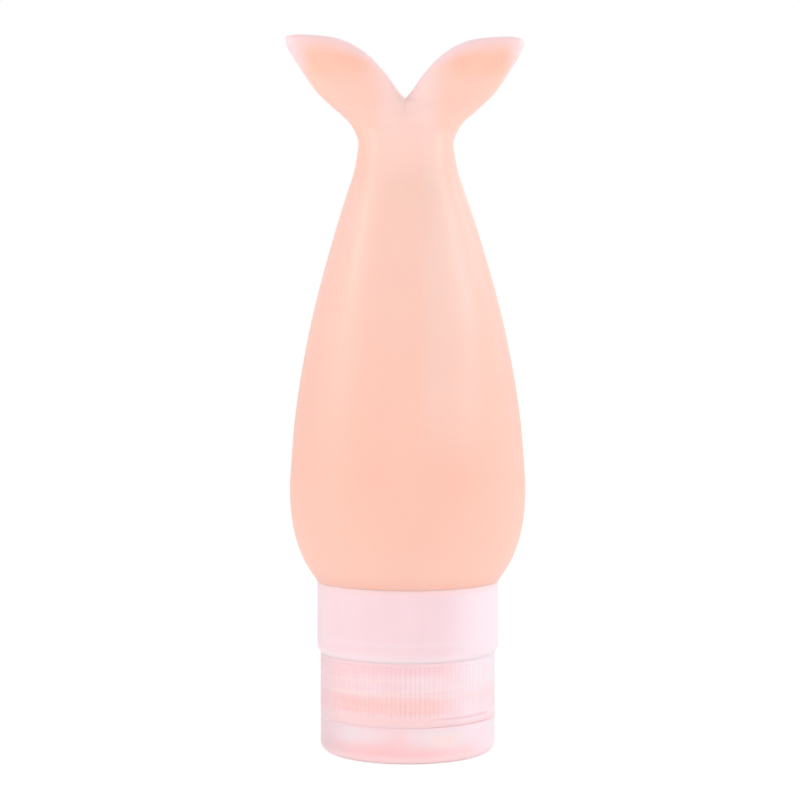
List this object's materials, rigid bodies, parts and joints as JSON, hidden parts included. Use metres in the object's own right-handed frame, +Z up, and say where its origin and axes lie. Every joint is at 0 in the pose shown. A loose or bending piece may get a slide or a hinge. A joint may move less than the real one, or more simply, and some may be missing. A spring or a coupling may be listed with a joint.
{
  "type": "travel bottle",
  "caption": "Squeezable travel bottle shaped like a fish with a forked tail, standing upside down on a ribbed screw cap with a hinged flip lid, slit valve, gasket and collar.",
  "frame": {"origin": "middle of the lid's outer face, on which the bottle stands", "axes": "+Z up from the lid to the tail, +X to the right across the tail, the front faces -Y"},
  "size_m": [0.0459, 0.0452, 0.1375],
  "materials": {
    "body_silicone": "satin silicone, slightly translucent, peach pink",
    "collar_plastic": "milky translucent pale pink",
    "insert_plastic": "translucent pale pink",
    "gasket_silicone": "matt peach silicone",
    "cap_plastic": "translucent pale pink, ribbed grip",
    "lid_plastic": "translucent pale pink, smooth",
    "valve_silicone": "clear silicone",
    "retainer_plastic": "natural translucent"
  },
  "bodies": {
    "bottle": {"bottle_body": "body_silicone", "collar_ring": "collar_plastic", "neck_insert": "insert_plastic"},
    "liner": {"neck_gasket": "gasket_silicone"},
    "cap": {"cap_base": "cap_plastic", "drip_valve": "valve_silicone", "valve_retainer": "retainer_plastic", "hinge_web": "cap_plastic"},
    "lid": {"flip_lid": "lid_plastic"}
  },
  "joints": [
    {"name": "cap_travel", "type": "slide", "parent": "bottle", "child": "liner", "axis": [0, 0, -1], "range_m": [0, 0.0062]},
    {"name": "cap_turn", "type": "hinge", "parent": "liner", "child": "cap", "pos_m": [0, 0, 0.0128], "axis": [0, 0, -1], "range_deg": [0, 540]},
    {"name": "lid_hinge", "type": "hinge", "parent": "cap", "child": "lid", "pos_m": [-0.01096, 0.01403, 0.007], "axis": [0.788, 0.6157, 0], "range_deg": [0, 150], "deforming": ["hinge_web"]}
  ],
  "couplings": [
    {"joint": "cap_travel", "follows": "cap_turn", "m_per_rad": 0.00065253}
  ]
}
